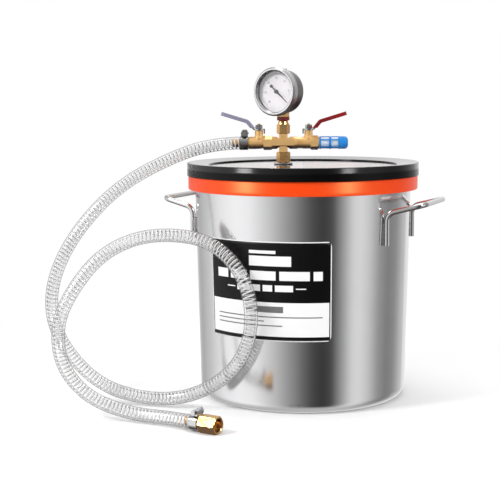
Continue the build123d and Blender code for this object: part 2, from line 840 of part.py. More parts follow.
def flare_nut():
    """Swivel nut: hexagon, clearance hole round the neck and a threaded mouth."""
    low = nut_gap
    high = nut_gap + nut_length
    nut = chamfered_hexagon(nut_flats, low, high)
    nut -= disc(tail_radius + swivel_clearance, low - 1, high)
    nut -= disc(nut_seat_radius, high - nut_mouth_depth - nut_seat_depth, high)
    nut -= disc(nut_mouth_radius, high - nut_mouth_depth, high + 1)
    nut -= turned([
        (0, high - nut_mouth_lead), (nut_mouth_radius, high - nut_mouth_lead),
        (nut_mouth_radius + nut_mouth_lead, high), (0, high),
    ])
    return at_hose_end(outward_x(Rot(0, 0, 30) * nut))


def clamp_band():
    """Band round the hose with the raised saddle that the screw lies in."""
    low = clamp_set_back
    band = tube(hose_radius + clamp_thickness, hose_radius, low, low + clamp_width)
    return outward_x(band)


def clamp_screw():
    """Worm screw in its housing on top of the band, head to the front."""
    wide, deep, tall = clamp_housing
    middle = clamp_set_back + clamp_screw_place
    base = hose_radius + clamp_thickness
    housing = Pos(middle, 0, base + tall / 2) * Box(wide - 1.0, deep, tall)
    housing = fillet(housing.edges().filter_by(Axis.Y).group_by(Axis.Z)[-1], 2.4)
    saddle = outward_x(disc(base, 0, clamp_set_back + clamp_width + 1))
    housing = Pos(0, 0, -0.6) * housing
    screw = disc(clamp_screw_radius, -clamp_screw_length / 2, clamp_screw_length / 2)
    screw += hexagon(clamp_head_flats, clamp_screw_length / 2 - clamp_head_height, clamp_screw_length / 2)
    screw -= Pos(0, 0, clamp_screw_length / 2) * Box(clamp_head_flats + 2, 1.0, 2.0)
    screw = Pos(middle, 0, base + tall / 2 - 0.2) * Rot(90, 0, 0) * screw
    return housing + screw - saddle


def start_clamp(shape):
    return at_hose_start(shape)


def end_clamp(shape):
    return at_hose_end(Rot(0, 0, 180) * shape)


def hose_points():
    start = on_lid(Pos(-hose_start_reach, 0, pipe_height) * Vertex(0, 0, 0)).center()
    turn = radians(lid_turn)
    first = start + Vector(-cos(turn), -sin(turn), 0) * hose_first_run
    finish = Vector(*hose_end)
    heading = radians(fitting_heading)
    last = finish - Vector(cos(heading), sin(heading), 0) * hose_last_run
    return [start, first] + [Vector(*p) for p in hose_middle] + [last, finish]


def corner_radii(points):
    """Largest arcs that leave a tenth of the shorter run straight between two corners."""
    radii = []
    for before, corner, after in zip(points, points[1:], points[2:]):
        into, out = corner - before, after - corner
        turn = into.get_angle(out)
        radii.append(0.45 * min(into.length, out.length) / tan(radians(turn / 2)))
    return radii


def vacuum_hose():
    """Plain tube along the route, bored at each end for its barbed tail."""
    points = hose_points()
    radii = corner_radii(points)
    path = FilletPolyline(*points, radius=radii)
    start = Plane(origin=points[0], z_dir=points[1] - points[0])
    hose = sweep(start * Circle(hose_radius), path)
    print("hose corner radii:", [round(r) for r in radii])
    print(f"hose length {path.length:.1f} mm, volume ratio "
          f"{hose.volume / (pi * hose_radius ** 2 * path.length):.4f}")
    hose -= at_hose_start(outward_x(disc(tail_radius, -1, tail_length + 0.5)))
    hose -= at_hose_end(outward_x(disc(tail_radius, -tail_length - 0.5, 1)))
    return hose


# ---------------------------------------------------------------- write every piece
os.makedirs("parts", exist_ok=True)
pot = chamber_pot()
save(pot, "chamber_pot")
save(handle(-1), "left_handle")
save(handle(1), "right_handle")
save(rim_gasket(pot), "rim_gasket")
save(lid_edge_ring(), "lid_edge_ring")
save(lid_glass(), "lid_glass")
save(upper_lid_seal(), "upper_lid_seal")
save(upper_lid_washer(), "upper_lid_washer")
save(lower_lid_seal(), "lower_lid_seal")
save(lower_lid_washer(), "lower_lid_washer")
save(lid_lock_nut(), "lid_lock_nut")
save(riser_nipple(), "riser_nipple")
save(cross_fitting(), "cross_fitting")
save(gauge_adapter(), "gauge_adapter")
save(thread_seal_band(), "thread_seal_band")
save(gauge_socket(), "gauge_socket")
save(gauge_case(), "gauge_case")
save(gauge_bezel(), "gauge_bezel")
save(gauge_window(), "gauge_window")
save(gauge_dial(), "gauge_dial")
save(gauge_pointer(), "gauge_pointer")
save(gauge_fill_plug(), "gauge_fill_plug")
save(bourdon_tube(), "bourdon_tube")
save(gauge_movement(), "gauge_movement")
for name, side in (("left", -1), ("right", 1)):
    save(valve_body(side), f"{name}_valve_body")
    save(valve_ball(side), f"{name}_valve_ball")
    save(ball_seat(side, -1), f"{name}_inner_seat")
    save(ball_seat(side, 1), f"{name}_outer_seat")
    save(seat_retainer(side), f"{name}_seat_retainer")
    save(stem_packing(side), f"{name}_stem_packing")
    save(valve_stem(side), f"{name}_valve_stem")
    save(valve_lever(side), f"{name}_valve_lever")
    save(lever_sleeve(side), f"{name}_lever_sleeve")
    save(handle_nut(side), f"{name}_handle_nut")
save(muffler_base(), "muffler_base")
save(muffler_cage(), "muffler_cage")
save(muffler_element(), "muffler_element")
save(hose_barb(), "hose_barb")
save(start_clamp(clamp_band()), "start_clamp_band")
save(start_clamp(clamp_screw()), "start_clamp_screw")
save(vacuum_hose(), "vacuum_hose")
save(end_clamp(clamp_band()), "end_clamp_band")
save(end_clamp(clamp_screw()), "end_clamp_screw")
save(end_barb(), "end_barb")
save(flare_nut(), "flare_nut")
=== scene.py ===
# %% [markdown]
# # A vacuum chamber in a pale studio
#
# The object is a drawn steel pot with a clear lid, a brass manifold on the lid and a long clear
# hose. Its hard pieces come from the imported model, already in place, so this lesson dresses them:
# it gives each one a finish made from shader nodes, and it adds what solids can't show well. That is
# the hose with the spring wire in its wall, the printed label, and the dial's marks and figures.
# Every length is in metres, and up is +Z.

import json
import math

import bmesh
import bpy
from mathutils import Matrix, Vector


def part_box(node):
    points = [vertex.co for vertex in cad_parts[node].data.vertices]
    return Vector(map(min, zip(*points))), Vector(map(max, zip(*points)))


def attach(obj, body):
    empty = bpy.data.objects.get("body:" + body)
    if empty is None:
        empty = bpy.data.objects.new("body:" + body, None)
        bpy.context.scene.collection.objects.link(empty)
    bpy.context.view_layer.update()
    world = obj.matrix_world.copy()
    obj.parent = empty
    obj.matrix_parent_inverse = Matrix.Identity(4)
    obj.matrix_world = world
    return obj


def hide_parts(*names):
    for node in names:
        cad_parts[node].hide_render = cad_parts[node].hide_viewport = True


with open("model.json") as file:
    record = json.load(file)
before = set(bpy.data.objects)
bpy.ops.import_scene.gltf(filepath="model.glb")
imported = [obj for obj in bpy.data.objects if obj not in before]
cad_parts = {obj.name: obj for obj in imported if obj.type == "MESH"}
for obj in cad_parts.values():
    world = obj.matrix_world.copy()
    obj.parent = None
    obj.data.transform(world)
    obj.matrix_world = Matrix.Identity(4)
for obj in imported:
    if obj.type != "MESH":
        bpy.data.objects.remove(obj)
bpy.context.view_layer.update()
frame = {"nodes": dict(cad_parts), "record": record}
nodes = frame["nodes"]
MM = 0.001
print("pieces in the model:", len(nodes))

# %% [markdown]
# ## The camera
#
# The camera stands a little to the right of the label, slightly above the lid's height, and looks
# down at the pot from nearly a metre and a half. A long lens keeps the pot's sides almost straight.
# It could be dragged into place in the viewport, but then nothing would say where it stands or why.
# So it is built from plain facts: a place round the pot, a height, and three small angles.

# %% Set up the camera
CAMERA_ROUND = math.radians(20)
CAMERA_AWAY = 1.4389
CAMERA_HEIGHT = 0.3468
CAMERA_TURN, CAMERA_TILT, CAMERA_ROLL = (math.radians(a) for a in (2.454, 7.116, -0.313))
# The lens and the sensor are in millimetres, as a camera's maker gives them.
LENS_LENGTH = 88.98
SENSOR_WIDTH = 36


def stand_camera():
    """A camera at its place round the pot, turned, tilted and rolled by small angles."""
    ahead = Vector((
        -math.sin(CAMERA_TURN) * math.cos(CAMERA_TILT),
        math.cos(CAMERA_TURN) * math.cos(CAMERA_TILT),
        -math.sin(CAMERA_TILT),
    ))
    across = Vector((math.cos(CAMERA_TURN), math.sin(CAMERA_TURN), 0))
    upward = across.cross(ahead)
    right = math.cos(CAMERA_ROLL) * across + math.sin(CAMERA_ROLL) * upward
    top = math.cos(CAMERA_ROLL) * upward - math.sin(CAMERA_ROLL) * across
    place = Matrix((right, top, -ahead)).transposed().to_4x4()
    place.translation = (0, -CAMERA_AWAY, CAMERA_HEIGHT)
    camera = bpy.data.objects.new("camera", bpy.data.cameras.new("camera"))
    bpy.context.collection.objects.link(camera)
    camera.data.sensor_width = SENSOR_WIDTH
    camera.data.lens = LENS_LENGTH
    camera.data.clip_start, camera.data.clip_end = 0.05, 50
    camera.matrix_world = Matrix.Rotation(CAMERA_ROUND, 4, "Z") @ place
    bpy.context.scene.camera = camera
    bpy.context.scene.view_settings.view_transform = "Standard"
    return camera


camera = stand_camera()
print("camera at", [round(v, 3) for v in camera.matrix_world.translation])

# %% [markdown]
# ## Writing a finish
#
# A finish is a small graph of shader nodes. Placed by hand they soon hide the idea, so a few helpers
# keep them readable. The first is `Value`, which wraps an output socket and lets plain arithmetic
# add the Math nodes. Every sign could be a node made by name, but `waves * dip` is easier to read.
# The reflected forms let a plain number stand first, as in `1 - mask`.

# %% Numbers that plain arithmetic can use
class Value:
    """An output socket, which plain arithmetic can use where it carries a number."""

    def __init__(self, owner, socket):
        self.owner, self.socket = owner, socket

    def maths(self, operation, *others):
        """A Math node on this value and the others."""
        values = dict(enumerate((self, *others)))
        return self.owner.node("ShaderNodeMath", {"operation": operation}, values)

    def reflected(self, operation, other):
        """The same with the plain number first, as in 1 - mask."""
        return self.owner.node("ShaderNodeMath", {"operation": operation}, {0: other, 1: self})

    def __add__(self, other):
        return self.maths("ADD", other)

    def __sub__(self, other):
        return self.maths("SUBTRACT", other)

    def __rsub__(self, other):
        return self.reflected("SUBTRACT", other)

    def __mul__(self, other):
        return self.maths("MULTIPLY", other)

    def __truediv__(self, other):
        return self.maths("DIVIDE", other)

    def __rtruediv__(self, other):
        return self.reflected("DIVIDE", other)

    def __gt__(self, other):
        return self.maths("GREATER_THAN", other)

    def __lt__(self, other):
        return self.maths("LESS_THAN", other)

    def most(self, other):
        return self.maths("MAXIMUM", other)

    def least(self, other):
        return self.maths("MINIMUM", other)

    __radd__, __rmul__ = __add__, __mul__


print("helper for numbers:", Value.__name__)

# %% [markdown]
# ## Greys, tints and ramps
#
# A colour socket takes four numbers, with the opacity last. Most colours here are greys, or a tint
# made a little darker, and writing them out each time would hide that. So each has a short helper,
# and a ramp takes its stops as plain pairs.

# %% Helpers for colours
def grey(level):
    return (level, level, level, 1)


def colour(red, green, blue):
    return (red, green, blue, 1)


def shade_of(tint, share):
    """The tint at a share of its brightness."""
    return colour(*(share * c for c in tint))


def set_stops(ramp, stops):
    """Give a colour ramp its (position, level) stops."""
    while len(ramp.elements) > 1:
        ramp.elements.remove(ramp.elements[-1])
    for i, (position, level) in enumerate(stops):
        stop = ramp.elements[0] if i == 0 else ramp.elements.new(position)
        stop.position = position
        stop.color = grey(level)


print("middle grey:", grey(0.5))

# %% [markdown]
# ## One material at a time
#
# `Finish` owns one material while it is made. Its `node` method makes any node from a type, its
# settings and its inputs, and the other methods are the few nodes that nearly every finish needs.
# Each finish could be wired node by node, but then the same ten lines would come up every time. The
# world and the geometry rules further on use the same method.

# %% A helper for materials
class Finish:
    """A material under construction, with the surface shader at its end."""

    def __init__(self, name, tree=None):
        if tree is None:
            self.material = bpy.data.materials.new(name)
            self.material.use_nodes = True
            tree = self.material.node_tree
        self.tree = tree
        self.tree.nodes.clear()

    def node(self, kind, settings=None, sockets=None, output=0):
        """Make a node, give it its settings, link or set its inputs and hand back one output."""
        made = self.tree.nodes.new(kind)
        for key, value in (settings or {}).items():
            if key == "stops":
                set_stops(made.color_ramp, value)
            else:
                setattr(made, key, value)
        for key, value in (sockets or {}).items():
            if isinstance(value, Value):
                self.tree.links.new(value.socket, made.inputs[key])
            else:
                made.inputs[key].default_value = value
        return Value(self, made.outputs[output]) if made.outputs else made

    def place(self, scale=(1, 1, 1)):
        """Object coordinates, stretched by constant amounts."""
        here = self.node("ShaderNodeTexCoord", output="Object")
        return self.node("ShaderNodeMapping", {}, {"Vector": here, "Scale": scale})

    def part(self, vector, axis):
        """One of a vector's three numbers: X, Y or Z."""
        return self.node("ShaderNodeSeparateXYZ", {}, {"Vector": vector}, output=axis)

    def ray(self, kind):
        """1 for a ray of that kind and 0 for any other."""
        return self.node("ShaderNodeLightPath", output=kind)

    def noise(self, size, detail=3.0, scale=(1, 1, 1)):
        """Soft noise from 0 to 1 whose blotches are about that size in metres."""
        sockets = {"Vector": self.place(scale), "Scale": 1 / size, "Detail": detail}
        return self.node("ShaderNodeTexNoise", {}, sockets)

    def ramp(self, value, *stops):
        """A smooth change through (position, level) stops."""
        return self.node("ShaderNodeValToRGB", {"stops": stops}, {"Fac": value})

    def blend(self, factor, first, second):
        """The first colour where the factor is 0, the second where it is 1."""
        colours = {0: factor, 6: first, 7: second}
        return self.node("ShaderNodeMix", {"data_type": "RGBA"}, colours, output=2)

    def bump(self, height, depth, strength=1.0):
        """A normal that follows the height, times the depth in metres."""
        sockets = {"Height": height, "Distance": depth, "Strength": strength}
        return self.node("ShaderNodeBump", {}, sockets)

    def mixed(self, factor, first, second):
        """Two shaders, mixed by a factor."""
        return self.node("ShaderNodeMixShader", {}, {0: factor, 1: first, 2: second})

    def end(self, shader):
        """End the graph in a shader and hand back the material."""
        self.node("ShaderNodeOutputMaterial", {}, {"Surface": shader})
        return self.material

    def surface(self, **sockets):
        """End the graph in a Principled shader: underscores in a name stand for spaces."""
        named = {key.replace("_", " "): value for key, value in sockets.items()}
        return self.end(self.node("ShaderNodeBsdfPrincipled", {}, named))


print("helper for materials:", Finish.__name__)

# %% [markdown]
# ## Steel, brass and the other metals
#
# Polished metal is mostly its surroundings, so its own colour varies little. What makes it look real
# is that the shine isn't even: fine polishing lines run round a spun pot, and tumbled brass has soft
# blotches and wide, low dents. A scanned surface would show that too, but only for one piece. Here
# noise is stretched along the way the tool ran, and one function serves every metal. The fine noise
# moves the roughness a little and the surface by a thousandth of a millimetre or less, and the dents
# are a few tenths of a millimetre deep.

# %% How a polished metal is made
BLOTCH_SIZE = 35 * MM
DENT_SIZE = 7 * MM


def polished_metal(name, tint, roughness, spread, grain=(1, 1, 1), size=4 * MM, depth=0.0,
                   under=None, metallic=1.0, dents=0.0):
    """A bare metal with polishing lines of a size and depth, stretched along the grain's axis.

    The lines vary the roughness by the spread. Dents is how deep the wide hollows are, and a
    metallic share under 1 keeps some of the tint where the surroundings are dark. Faces that
    look down take the under tint, a painted shade that stands in for the light they miss.
    """
    finish = Finish(name)
    lines = finish.noise(size, 4.0, grain)
    blotches = finish.noise(BLOTCH_SIZE, 2.0)
    shade = finish.blend(blotches, shade_of(tint, 0.93), colour(*tint))
    # Painted shade: faces that look down are blended towards the under tint.
    if under:
        normal = finish.node("ShaderNodeNewGeometry", output="Normal")
        down = finish.part(normal, "Z") * -1
        shade = finish.blend(finish.ramp(down, (0.12, 0.0), (0.55, 1.0)), shade, colour(*under))
    shine = lines * spread + (roughness - spread / 2)
    sockets = {"Base_Color": shade, "Metallic": metallic, "Roughness": shine}
    if depth:
        height = lines * depth
        if dents:
            height = height + finish.noise(DENT_SIZE, 1.0) * dents
        sockets["Normal"] = finish.bump(height, 1.0)
    return finish.surface(**sockets)


print("noise sizes in mm:", round(BLOTCH_SIZE / MM), "and", round(DENT_SIZE / MM))

# %% [markdown]
# ## The thirteen metals
#
# The pot is bright drawn steel, the rods and the clamps shine a little more, the gauge's case is
# dull, and the brass comes in two kinds: turned nuts and tumbled fittings. Each could have a graph of
# its own. A table of looks says the same in a line or two each, under the names of the model's slots.

# %% Metal finishes
# An under tint is painted shade: it darkens the faces that look down.
METALS = {
    "pot_steel": dict(tint=(0.82, 0.82, 0.83), roughness=0.16, spread=0.05,
                      grain=(0.04, 0.04, 1), size=0.6 * MM, depth=5e-7),
    "rod_steel": dict(tint=(0.76, 0.75, 0.75), roughness=0.10, spread=0.05,
                      under=(0.10, 0.07, 0.06)),
    "washer_steel": dict(tint=(0.62, 0.62, 0.63), roughness=0.24, spread=0.10, size=1.5 * MM),
    "case_steel": dict(tint=(0.33, 0.32, 0.32), roughness=0.46, spread=0.10,
                       grain=(0.05, 1, 1), size=1 * MM, under=(0.02, 0.02, 0.02)),
    "bezel_steel": dict(tint=(0.80, 0.79, 0.80), roughness=0.24, spread=0.04,
                        under=(0.14, 0.14, 0.14), metallic=0.88),
    "lever_steel": dict(tint=(0.62, 0.62, 0.63), roughness=0.22, spread=0.10),
    "clamp_steel": dict(tint=(0.70, 0.70, 0.71), roughness=0.16, spread=0.08,
                        under=(0.05, 0.045, 0.04)),
    "ball_chrome": dict(tint=(0.70, 0.70, 0.71), roughness=0.06, spread=0.02),
    "wire_steel": dict(tint=(0.84, 0.84, 0.84), roughness=0.40, spread=0.06, metallic=0.1),
    "nut_brass": dict(tint=(1.0, 0.60, 0.24), roughness=0.22, spread=0.06,
                      grain=(1, 1, 0.2), size=1 * MM, depth=5e-7,
                      under=(0.10, 0.045, 0.02), metallic=0.92, dents=3e-4),
    "fitting_brass": dict(tint=(1.0, 0.62, 0.25), roughness=0.17, spread=0.08,
                          size=1.2 * MM, depth=1e-6,
                          under=(0.06, 0.025, 0.01), metallic=0.42, dents=4e-4),
    "stem_brass": dict(tint=(0.76, 0.52, 0.22), roughness=0.20, spread=0.08),
    "bourdon_bronze": dict(tint=(0.62, 0.36, 0.17), roughness=0.24, spread=0.08),
}
finishes = {name: polished_metal(name, **look) for name, look in METALS.items()}
print("metals:", len(METALS))

# %% [markdown]
# ## Rubber and plastic
#
# The gasket and the ring round the lid are glossy mouldings, and so are the sleeves, the seals and
# the vent's blue cage. Moulded rubber is never quite flat, so a very low, wide noise bends its
# highlights. The gasket and the ring also have softly rounded crowns. More faces could round them,
# but a bump worked out from the height does it without changing the model.

# %% Moulded finishes
GASKET_CROWN = {"low": 238 * MM, "tall": 6 * MM, "radius": 17 * MM, "gloss": 0.0}
RING_CROWN = {"low": 262.6 * MM, "tall": 2.2 * MM, "radius": 5.4 * MM, "gloss": 1.0}


def moulded(name, tint, roughness, spread=0.06, dip=2e-5, size=12 * MM, crown=None, **constants):
    """A moulded piece with slightly uneven gloss and slight dips, its edge rounded by a crown.

    A crown starts at its low height and rounds the wall over with its radius for as far up as
    tall says. Above that the wall goes on at the slope it has reached. The crown's gloss is the
    weight of a coat, which grows from its foot to its top.
    """
    finish = Finish(name)
    waves = finish.noise(size)
    height = waves * dip
    if crown:
        rise = (finish.part(finish.place(), "Z") - crown["low"]).most(0.0)
        over = rise.least(crown["tall"])
        height = height - over * (rise - over / 2) / crown["radius"]
        constants["Coat_Weight"] = over * (crown["gloss"] / crown["tall"])
    return finish.surface(
        Base_Color=finish.blend(waves, shade_of(tint, 0.88), colour(*tint)),
        Roughness=waves * spread + (roughness - spread / 2),
        Normal=finish.bump(height, 1.0),
        **constants,
    )


MOULDINGS = {
    "orange_silicone": dict(tint=(0.94, 0.050, 0.002), roughness=0.34, crown=GASKET_CROWN,
                            Specular_IOR_Level=0.8, Specular_Tint=colour(1.0, 0.7, 0.25)),
    "black_ring": dict(tint=(0.003, 0.003, 0.003), roughness=0.17, crown=RING_CROWN,
                       Specular_IOR_Level=0.12, Coat_Roughness=0.18, Coat_IOR=1.3),
    "seal_rubber": dict(tint=(0.015, 0.015, 0.015), roughness=0.45, size=3 * MM),
    "red_sealant": dict(tint=(0.20, 0.010, 0.012), roughness=0.35, size=3 * MM),
    "seat_white": dict(tint=(0.86, 0.86, 0.84), roughness=0.35),
    "sleeve_violet": dict(tint=(0.29, 0.28, 0.39), roughness=0.26, size=6 * MM),
    "sleeve_red": dict(tint=(0.32, 0.003, 0.008), roughness=0.28, size=6 * MM),
    "muffler_blue": dict(tint=(0.03, 0.36, 0.95), roughness=0.16,
                         Transmission_Weight=0.3, IOR=1.45),
    "element_white": dict(tint=(0.86, 0.95, 1.0), roughness=0.70, size=0.8 * MM, dip=3e-5),
    "dial_white": dict(tint=(0.69, 0.665, 0.69), roughness=0.50, dip=0),
    "pointer_black": dict(tint=(0.02, 0.02, 0.02), roughness=0.40),
}
finishes.update({name: moulded(name, **look) for name, look in MOULDINGS.items()})
print("mouldings:", len(MOULDINGS))

# %% [markdown]
# ## The lid's disc and the gauge's window
#
# The disc is thick and clear, with a faint grey cast, and the window is thin and clearer still. The
# disc's grey is partly its own and partly painted shade, which dims the pot's inside seen and lit
# through it. They could be made half transparent, but then nothing behind them would bend. A
# Principled shader with full transmission bends light as a clear solid does. Its shadow would be
# black, so the rays that look for lamps pass straight through and only take the tint.

# %% Clear finishes
# The lid's grey tint is partly its own and partly painted shade that dims the pot's inside.
GLASS_TINTS = {"lid_glass": (0.74, 0.76, 0.76), "window_clear": (0.98, 0.98, 0.98)}


def clear(name, tint):
    """A clear solid that lets light through to what lies behind it."""
    finish = Finish(name)
    haze = finish.noise(50 * MM, 2.0)
    solid = finish.node("ShaderNodeBsdfPrincipled", {}, {
        "Base Color": colour(*tint), "Transmission Weight": 1.0, "IOR": 1.5,
        "Roughness": haze * 0.01,
    })
    open_shadow = finish.node("ShaderNodeBsdfTransparent", {}, {"Color": colour(*tint)})
    return finish.end(finish.mixed(finish.ray("Is Shadow Ray"), solid, open_shadow))


finishes.update({name: clear(name, tint) for name, tint in GLASS_TINTS.items()})
print("clear solids:", len(GLASS_TINTS))

# %% [markdown]
# ## The hose's vinyl
#
# The hose is clear, but its thick wall is a little cloudy, and it shows mostly as bright streaks and
# greyer sides. A wall that really bends light turns dark and grainy here, because each ray meets it
# many times and meets the spring inside it. So the outer skin is open with a soft gloss, and grows
# denser where it is seen along the wall, as a cloudy wall does. Its grey there is painted shade, in
# place of the dark edge that bent light gives. The skin of the bore holds the cloudiness.

# %% Vinyl finishes
# The grey of the wall at the hose's sides is painted shade.
VINYL_GREY = 0.26
VINYL_GLOSS = 0.035


def vinyl(name, skin, edge):
    """A clear vinyl skin: mostly open, shiny, and denser where it is seen along its wall.

    Skin is its density where it faces the viewer, and edge where it is seen along the wall.
    """
    finish = Finish(name)
    haze = finish.noise(4 * MM, 2.0)
    along = finish.node("ShaderNodeLayerWeight", {}, {"Blend": 0.5}, output="Facing")
    density = finish.ramp(along + haze * 0.08, (0.42, skin), (0.95, edge))
    # Painted shade: this grey wall shows at the sides, in place of the dark edge that bent light gives.
    wall = finish.node("ShaderNodeBsdfPrincipled", {}, {
        "Base Color": grey(VINYL_GREY), "Roughness": haze * 0.1 + 0.16})
    gloss = finish.node("ShaderNodeBsdfAnisotropic", {}, {"Color": grey(1.0), "Roughness": 0.14})
    gap = finish.node("ShaderNodeBsdfTransparent", {}, {"Color": grey(0.99)})
    seen = finish.mixed(density, finish.mixed(VINYL_GLOSS, gap, gloss), wall)
    return finish.end(finish.mixed(finish.ray("Is Shadow Ray"), seen, gap))


def milky(name, level, opacity):
    """A cloudy skin that scatters part of the light and lets the rest pass."""
    finish = Finish(name)
    cloud = finish.noise(6 * MM, 2.0)
    return finish.surface(
        Base_Color=finish.blend(cloud, grey(0.94 * level), grey(level)), Roughness=0.5,
        Alpha=cloud * 0.1 + (opacity - 0.05))


finishes["hose_vinyl"] = vinyl("hose_vinyl", skin=0.02, edge=0.85)
finishes["hose_bore"] = milky("hose_bore", level=0.86, opacity=0.72)
print("finishes in all:", len(finishes))

# %% [markdown]
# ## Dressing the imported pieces
#
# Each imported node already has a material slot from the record, and the finishes above go by the
# slots' names. So a short loop dresses every node, and a new node needs no new code. The solid hose
# alone gets none, because a clear wall takes its place further on.

# %% Give each node its finish
subparts = frame["record"]["subparts"]
dressed = [entry for entry in subparts if entry["material_slot"] in finishes]
for entry in dressed:
    mesh = nodes[entry["node"]].data
    mesh.materials.clear()
    mesh.materials.append(finishes[entry["material_slot"]])
print("dressed:", len(dressed), "of", len(subparts))

# %% [markdown]
# ## The hose's route
#
# The hose is about one and a quarter metres long and stiff enough to hold wide curves. It leaves the
# left valve, falls to the floor in one big loop, climbs against the pot, comes round over itself and
# ends in the swivel nut. The handles of a Bezier curve could be pulled until they fit. A NURBS curve
# needs only the control points that the solid hose was built on, and it is smooth all along.

# %% The route as a NURBS curve
# Control points in millimetres, from the barb at the left valve to the swivel nut.
HOSE_ROUTE = [
    (-66.698, -2.993, 291.7), (-107.105, -17.700, 291.7), (-159, -43, 271), (-208, -69, 240),
    (-248, -96, 190), (-268, -117, 138), (-264, -131, 92), (-238, -137, 52), (-195, -137, 18),
    (-139, -137, 7.5), (-88, -131, 12), (-40, -131, 39), (-12, -136, 78), (-8, -136, 122),
    (-25, -131, 162), (-62, -126, 189), (-108, -126, 195), (-151, -134, 190), (-187, -150, 170),
    (-210, -171, 134), (-220, -190, 98), (-208, -204, 55), (-172, -209, 23), (-123, -204, 8.5),
    (-76.377, -205.380, 9), (-36, -212.5, 9),
]
ROUTE_STEPS = 20


def smooth_line(name, points, steps):
    """Points along a NURBS curve that runs from the first control point to the last."""
    curve = bpy.data.curves.new(name, "CURVE")
    curve.dimensions = "3D"
    spline = curve.splines.new("NURBS")
    spline.points.add(len(points) - 1)
    for point, place in zip(spline.points, points):
        point.co = (*(c * MM for c in place), 1)
    spline.order_u = 3
    spline.use_endpoint_u = True
    spline.resolution_u = steps
    carrier = bpy.data.objects.new(name, curve)
    bpy.context.collection.objects.link(carrier)
    bpy.context.view_layer.update()
    mesh = bpy.data.meshes.new_from_object(carrier)
    line = [v.co.copy() for v in mesh.vertices]
    bpy.data.objects.remove(carrier)
    bpy.data.meshes.remove(mesh)
    return line


def line_length(line):
    return sum((b - a).length for a, b in zip(line, line[1:]))


hose_line = smooth_line("hose_route", HOSE_ROUTE, ROUTE_STEPS)
hose_length = line_length(hose_line)
print("hose points", len(hose_line), "length", round(hose_length, 4))

# %% [markdown]
# ## The hose's wall
#
# The wall is a thick clear tube. A bevelled curve would be quicker, but it gives one skin only. So
# the wall is built from rings of points along the line. They could all be set up by the world's own
# axes, but where the hose turns steeply they would twist. Here each ring takes its sideways direction
# from the one before, turned as little as the line allows.

# %% Rings along the line
def rings_along(line):
    """Centre, side and upward directions at each point, without twist."""
    side = (line[1] - line[0]).orthogonal()
    last = len(line) - 1
    for i, centre in enumerate(line):
        ahead = (line[min(i + 1, last)] - line[max(i - 1, 0)]).normalized()
        side = (side - ahead * side.dot(ahead)).normalized()
        yield centre, side, ahead.cross(side)


print("rings for the hose:", len(list(rings_along(hose_line))))

# %% [markdown]
# ## Adding a piece
#
# Six pieces are added to the imported ones. Each is linked at the origin, takes its finish and its
# smooth or flat shading, and is hung on the body it rides on. That could be written out for each,
# but one function can't forget a step.

# %% A helper that adds a piece
def new_piece(name, mesh, finish, body, slot, smooth=True):
    """Link a mesh as a piece at the origin, with its finish and its body; its slot is not used."""
    piece = bpy.data.objects.new(name, mesh)
    bpy.context.collection.objects.link(piece)
    if finish:
        mesh.materials.clear()
        mesh.materials.append(finish)
    for face in mesh.polygons:
        face.use_smooth = smooth
    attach(piece, body)
    return piece


print("helper for pieces:", new_piece.__name__)

# %% [markdown]
# ## The clear tube
#
# Each ring becomes points on the outer skin and points on the bore. Faces join one ring to the next,
# and a flat ring closes each end. Solidify could thicken a single skin too, but here the bore needs a
# finish of its own, so its faces take the second material as they are made.

# %% Join the rings into a tube
HOSE_DIAMETER = 15 * MM
HOSE_BORE_RADIUS = 4.95 * MM
HOSE_SIDES = 28


def tube_mesh(name, line, outer, inner, sides):
    """A thick-walled tube: outer skin, inner skin and a flat ring at each end.

    The inner skin's faces take the second material.
    """
    shape = bmesh.new()
    outside, inside = [], []
    for centre, side, up in rings_along(line):
        turns = [2 * math.pi * i / sides for i in range(sides)]
        ways = [math.cos(a) * side + math.sin(a) * up for a in turns]
        outside.append([shape.verts.new(centre + w * outer) for w in ways])
        inside.append([shape.verts.new(centre + w * inner) for w in ways])
    for skin, flip in ((outside, False), (inside, True)):
        for low, high in zip(skin, skin[1:]):
            for i in range(sides):
                j = (i + 1) % sides
                corners = [low[i], low[j], high[j], high[i]]
                face = shape.faces.new(corners[::-1] if flip else corners)
                face.material_index = int(flip)
    for end, flip in ((0, True), (-1, False)):
        for i in range(sides):
            j = (i + 1) % sides
            corners = [outside[end][i], outside[end][j], inside[end][j], inside[end][i]]
            shape.faces.new(corners[::-1] if flip else corners)
    mesh = bpy.data.meshes.new(name)
    shape.to_mesh(mesh)
    shape.free()
    return mesh


hose_wall = new_piece(
    "hose_wall", tube_mesh("hose_wall", hose_line, HOSE_DIAMETER / 2, HOSE_BORE_RADIUS, HOSE_SIDES),
    finishes["hose_vinyl"], "chamber", "hose_clear")
hose_wall.data.materials.append(finishes["hose_bore"])
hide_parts("vacuum_hose")
print("hose wall faces", len(hose_wall.data.polygons))

# %% [markdown]
# ## A tool for rules: Geometry Nodes
#
# A spring or a ring of marks is one small rule repeated. Geometry Nodes say the rule once. They could
# be wired by hand and left on the object, but then its mesh would hang on a live modifier. `Rule`
# builds a tree with named inputs, runs it on a carrier object and hands back a plain mesh.

